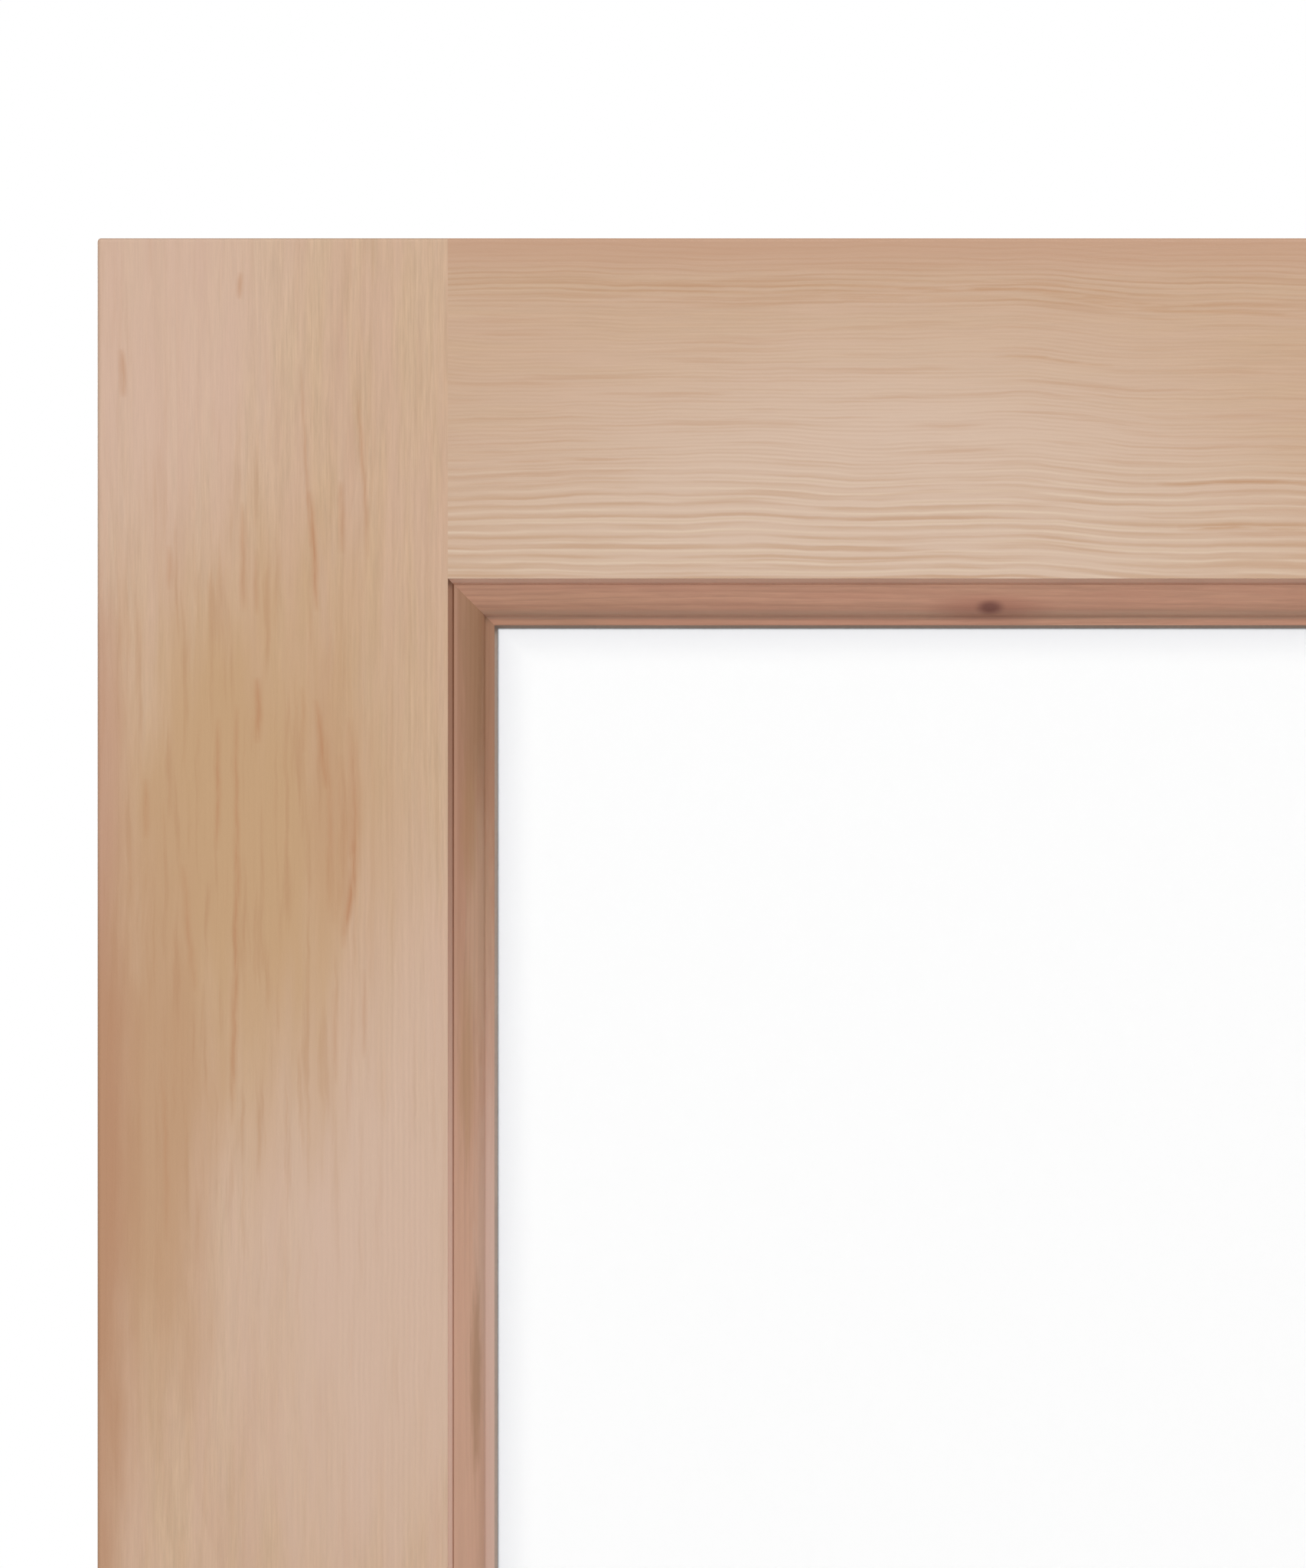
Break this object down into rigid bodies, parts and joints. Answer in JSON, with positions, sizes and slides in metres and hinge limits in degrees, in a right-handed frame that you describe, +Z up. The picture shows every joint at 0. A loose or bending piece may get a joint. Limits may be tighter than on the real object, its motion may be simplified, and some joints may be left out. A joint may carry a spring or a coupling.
{
  "type": "prehung sauna door",
  "caption": "Narrow wooden sauna door leaf with a tall insulated glass light, hung on butt hinges in its own frame with threshold, pull handles and roller catch.",
  "frame": {"origin": "centre of the frame's underside, at the bottom of the threshold", "axes": "X across the opening with the hinges at +X, Y through the wall with the leaf opening towards -Y, +Z up"},
  "size_m": [0.6865, 0.7395, 2.092],
  "materials": {
    "stile_wood": "planed straight-grained softwood, clear oiled",
    "rail_wood": "planed straight-grained softwood, clear oiled",
    "bead_wood": "moulded redder softwood, clear oiled",
    "jamb_wood": "planed softwood, clear oiled",
    "stop_wood": "planed softwood, clear oiled",
    "threshold_wood": "planed hardwood, oiled",
    "dowel_wood": "turned beech",
    "handle_wood": "shaped softwood, sanded",
    "hinge_steel": "brushed stainless steel",
    "screw_steel": "stainless steel",
    "catch_steel": "stainless steel",
    "insert_brass": "turned brass",
    "roller_nylon": "moulded nylon",
    "pane_glass": "tempered glass, satin face",
    "spacer_aluminium": "mill finish",
    "edge_sealant": "black sealant",
    "glazing_tape": "dark grey foam tape",
    "block_plastic": "rigid plastic"
  },
  "bodies": {
    "frame": {"hinge_jamb": "jamb_wood", "strike_jamb": "jamb_wood", "head_jamb": "jamb_wood", "threshold": "threshold_wood", "hinge_stop": "stop_wood", "strike_stop": "stop_wood", "head_stop": "stop_wood", "frame_screws": "screw_steel", "hinge_jamb_screws": "screw_steel", "strike_plate": "catch_steel", "strike_screws": "screw_steel", "top_hinge_jamb_plate": "hinge_steel", "middle_hinge_jamb_plate": "hinge_steel", "bottom_hinge_jamb_plate": "hinge_steel", "top_hinge_pin": "hinge_steel", "middle_hinge_pin": "hinge_steel", "bottom_hinge_pin": "hinge_steel"},
    "door_leaf": {"latch_stile": "stile_wood", "hinge_stile": "stile_wood", "top_rail": "rail_wood", "bottom_rail": "rail_wood", "rail_dowels": "dowel_wood", "outer_top_bead": "bead_wood", "outer_bottom_bead": "bead_wood", "outer_latch_side_bead": "bead_wood", "outer_hinge_side_bead": "bead_wood", "inner_top_bead": "bead_wood", "inner_bottom_bead": "bead_wood", "inner_latch_side_bead": "bead_wood", "inner_hinge_side_bead": "bead_wood", "outer_pane": "pane_glass", "inner_pane": "pane_glass", "spacer_bar": "spacer_aluminium", "edge_seal": "edge_sealant", "outer_glazing_tape": "glazing_tape", "inner_glazing_tape": "glazing_tape", "setting_blocks": "block_plastic", "top_hinge_leaf_plate": "hinge_steel", "middle_hinge_leaf_plate": "hinge_steel", "bottom_hinge_leaf_plate": "hinge_steel", "hinge_leaf_screws": "screw_steel", "outer_grip": "handle_wood", "inner_grip": "handle_wood", "outer_upper_post": "handle_wood", "outer_lower_post": "handle_wood", "inner_upper_post": "handle_wood", "inner_lower_post": "handle_wood", "handle_bolts": "screw_steel", "handle_inserts": "insert_brass", "bolt_plugs": "handle_wood", "catch_case": "catch_steel", "catch_faceplate": "catch_steel", "catch_screws": "screw_steel", "catch_spring": "catch_steel"},
    "catch_plunger": {"plunger": "catch_steel", "roller_axle": "catch_steel"},
    "catch_roller": {"roller": "roller_nylon"}
  },
  "joints": [
    {"name": "door_swing", "type": "hinge", "parent": "frame", "child": "door_leaf", "pos_m": [0.3065, -0.065, 1.099], "axis": [0, 0, 1], "range_deg": [-90, 80]},
    {"name": "catch_press", "type": "slide", "parent": "door_leaf", "child": "catch_plunger", "axis": [0, 1, 0], "range_m": [0, 0.006], "stiffness_N_per_m": 700, "springref_m": -0.012, "deforming": ["catch_spring"]},
    {"name": "roller_turn", "type": "hinge", "parent": "catch_plunger", "child": "catch_roller", "pos_m": [0.2773, -0.675, 0.965], "axis": [0, 0, 1], "continuous": true}
  ]
}
